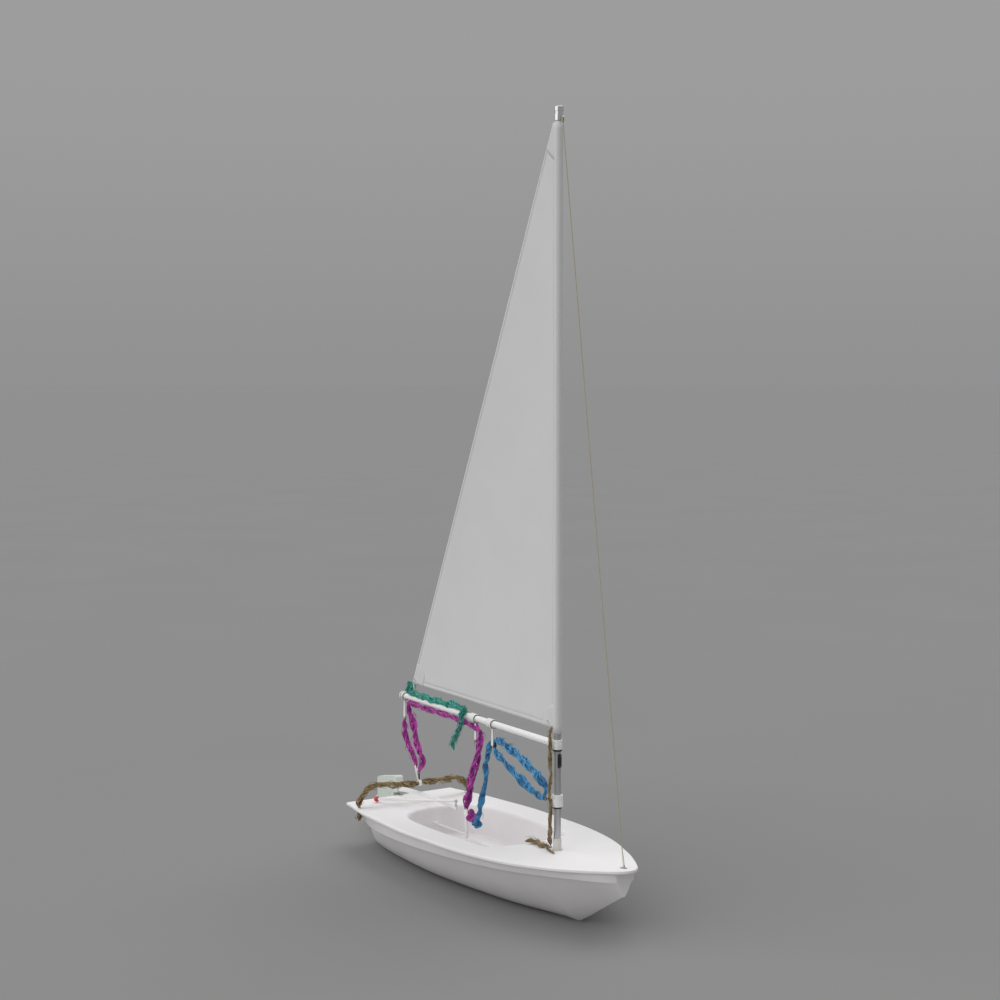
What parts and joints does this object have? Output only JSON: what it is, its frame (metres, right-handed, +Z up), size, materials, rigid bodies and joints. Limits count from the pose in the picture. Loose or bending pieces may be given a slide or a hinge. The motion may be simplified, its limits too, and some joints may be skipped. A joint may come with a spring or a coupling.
{
  "type": "sailing dinghy",
  "caption": "White moulded single-handed sailing dinghy with open cockpit, freestanding mast, swinging boom and sail, lifting rudder and pivoting centreboard.",
  "frame": {"origin": "on the flat of the keel, on the centreline straight below the mast's axis, where the hull stands on the floor", "axes": "+X towards the bow, +Y to port, +Z up"},
  "size_m": [4.4619, 1.426, 6.6111],
  "materials": {
    "hull": "moulded white",
    "deck": "moulded white",
    "fairlead": "smooth",
    "case": "moulded white",
    "steel": "satin",
    "mast_tube": "anodised",
    "cap": "polished",
    "collar": "smooth",
    "cleat": "black",
    "webbing": "woven",
    "boom_tube": "white",
    "white_plastic": "smooth",
    "sailcloth": "plain woven",
    "stock": "satin pale green-grey",
    "blade": "smooth cream",
    "tiller": "white",
    "joint_rubber": "matte",
    "ball": "red",
    "board": "smooth"
  },
  "bodies": {
    "hull": {"hull": "hull", "deck": "deck", "fairlead_port": "fairlead", "fairlead_starboard": "fairlead", "centreboard_case": "case", "centreboard_pin": "steel", "drain_bung": "white_plastic", "deck_eye": "steel", "mast": "mast_tube", "masthead_cap": "cap", "mast_collar": "collar", "forestay": "steel", "turnbuckle": "white_plastic", "bow_plate": "steel", "gooseneck_stop": "cleat", "vang_stop": "cleat", "mast_cleat": "cleat", "mainsheet_post": "white_plastic", "mainsheet_block": "white_plastic", "toe_strap": "webbing", "toe_strap_anchor": "white_plastic", "gudgeon_top": "steel", "gudgeon_low": "steel"},
    "boom": {"gooseneck_collar": "white_plastic", "gooseneck_fork": "white_plastic", "gooseneck_pin": "steel", "boom": "boom_tube", "boom_end_cap": "white_plastic", "boom_band_aft": "steel", "boom_block_aft": "white_plastic", "boom_band_mid": "steel", "boom_block_mid": "white_plastic", "boom_band_vang": "steel", "boom_block_vang": "white_plastic", "sail": "sailcloth", "clew_strap": "webbing", "vang_collar": "white_plastic"},
    "rudder": {"rudder_stock": "stock", "pintle_top": "steel", "pintle_low": "steel", "tiller": "tiller", "blade_pin": "steel"},
    "blade": {"rudder_blade": "blade"},
    "extension_joint": {"extension_swivel": "joint_rubber"},
    "extension": {"extension_tube": "tiller", "extension_ball": "ball"},
    "centreboard": {"centreboard": "board"}
  },
  "joints": [
    {"name": "boom_swing", "type": "hinge", "parent": "hull", "child": "boom", "pos_m": [0, 0, 1.396], "axis": [0, 0, 1], "range_deg": [-85, 85]},
    {"name": "rudder_turn", "type": "hinge", "parent": "hull", "child": "rudder", "pos_m": [-2.76421, 0, 0.40757], "axis": [-0.0359, 0, 0.9994], "range_deg": [-40, 40]},
    {"name": "blade_lift", "type": "hinge", "parent": "rudder", "child": "blade", "pos_m": [-3.00576, 0, 0.32384], "axis": [0, 1, 0], "range_deg": [-59, 31]},
    {"name": "extension_swing", "type": "hinge", "parent": "rudder", "child": "extension_joint", "pos_m": [-1.65765, 0, 0.52302], "axis": [-0.0359, 0, 0.9994], "range_deg": [-10, 100]},
    {"name": "extension_lift", "type": "hinge", "parent": "extension_joint", "child": "extension", "pos_m": [-1.65941, 0, 0.57214], "axis": [-0.3581, 0.9336, -0.0129], "range_deg": [0, 35]},
    {"name": "centreboard_drop", "type": "hinge", "parent": "hull", "child": "centreboard", "pos_m": [-0.335, 0, 0.12], "axis": [0, 1, 0], "range_deg": [-78, 0]}
  ]
}
